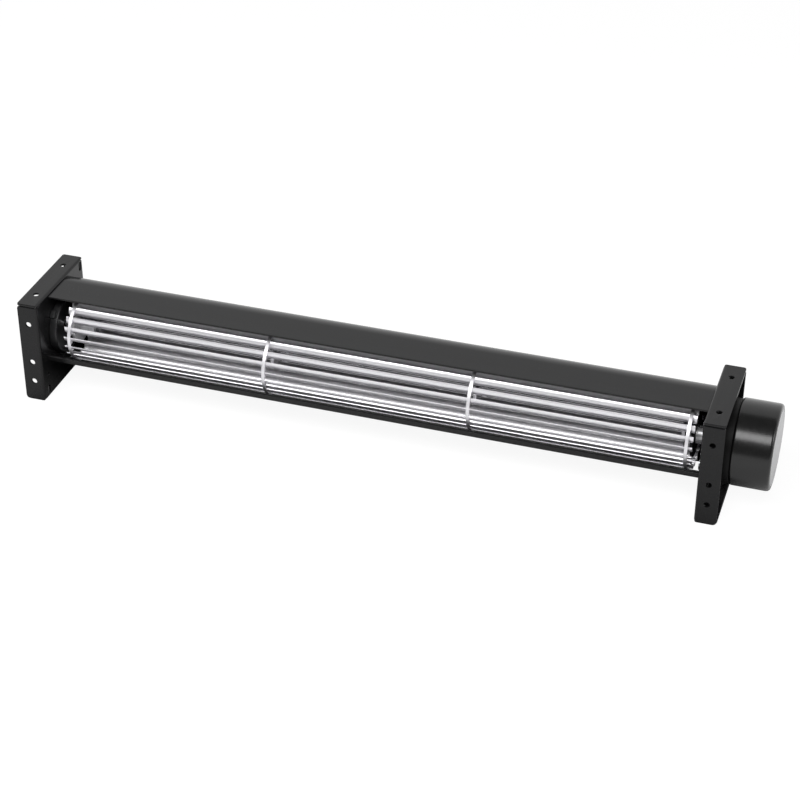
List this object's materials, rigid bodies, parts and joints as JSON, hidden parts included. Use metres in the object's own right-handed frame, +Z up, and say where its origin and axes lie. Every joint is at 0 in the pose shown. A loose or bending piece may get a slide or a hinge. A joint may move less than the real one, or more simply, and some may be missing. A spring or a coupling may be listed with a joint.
{
  "type": "cross flow fan",
  "caption": "Long slatted impeller between two flanged end plates, under a curved scroll sheet and over a stabiliser sheet, driven by a round motor at one end.",
  "frame": {"origin": "on the floor, in the middle of the fan's length and depth", "axes": "+X along the impeller towards the motor, +Y from the open front to the back, +Z up"},
  "size_m": [0.326, 0.0462, 0.0482],
  "materials": {
    "black_paint": "satin",
    "bright_aluminium": "bright",
    "turned_aluminium": "turned",
    "steel": "ground",
    "black_rubber": "matt",
    "black_moulding": "satin",
    "gloss_case": "gloss",
    "white_plate": "satin",
    "bronze": "sintered",
    "felt": "matt",
    "plated_screw": "zinc plated",
    "core_steel": "stacked",
    "white_nylon": "natural",
    "copper_winding": "enamelled",
    "green_board": "gloss",
    "chip_black": "matt",
    "ferrite": "matt"
  },
  "bodies": {
    "housing": {"end_plate_left": "black_paint", "end_plate_right": "black_paint", "scroll_sheet": "black_paint", "stabiliser_sheet": "black_paint", "bearing_carrier": "black_moulding", "bearing_rubber": "black_rubber", "sleeve_bearing": "bronze", "oil_felt": "felt", "bearing_cap": "black_moulding", "carrier_screws": "plated_screw", "motor_base": "gloss_case", "motor_cap": "gloss_case", "motor_plate": "white_plate", "motor_bushes": "bronze", "stator_core": "core_steel", "insulators": "white_nylon", "coil_1": "copper_winding", "coil_2": "copper_winding", "coil_3": "copper_winding", "coil_4": "copper_winding", "coil_5": "copper_winding", "coil_6": "copper_winding", "circuit_board": "green_board", "hall_sensor": "chip_black", "lead_grommet": "black_rubber", "motor_screws": "plated_screw"},
    "rotor": {"end_disc_left": "bright_aluminium", "middle_disc_1": "bright_aluminium", "middle_disc_2": "bright_aluminium", "end_disc_right": "bright_aluminium", "blade_01": "bright_aluminium", "blade_02": "bright_aluminium", "blade_03": "bright_aluminium", "blade_04": "bright_aluminium", "blade_05": "bright_aluminium", "blade_06": "bright_aluminium", "blade_07": "bright_aluminium", "blade_08": "bright_aluminium", "blade_09": "bright_aluminium", "blade_10": "bright_aluminium", "blade_11": "bright_aluminium", "blade_12": "bright_aluminium", "blade_13": "bright_aluminium", "blade_14": "bright_aluminium", "blade_15": "bright_aluminium", "blade_16": "bright_aluminium", "blade_17": "bright_aluminium", "blade_18": "bright_aluminium", "blade_19": "bright_aluminium", "blade_20": "bright_aluminium", "left_hub": "turned_aluminium", "journal_pin": "steel", "drive_hub": "turned_aluminium", "hub_coupling": "black_rubber", "set_screw": "steel", "motor_shaft": "steel", "rotor_sleeve": "steel", "magnet_ring": "ferrite", "thrust_washers": "white_nylon", "retaining_clip": "steel"}
  },
  "joints": [
    {"name": "impeller_spin", "type": "hinge", "parent": "housing", "child": "rotor", "pos_m": [0, -0.0011, 0.028], "axis": [1, 0, 0], "continuous": true}
  ]
}
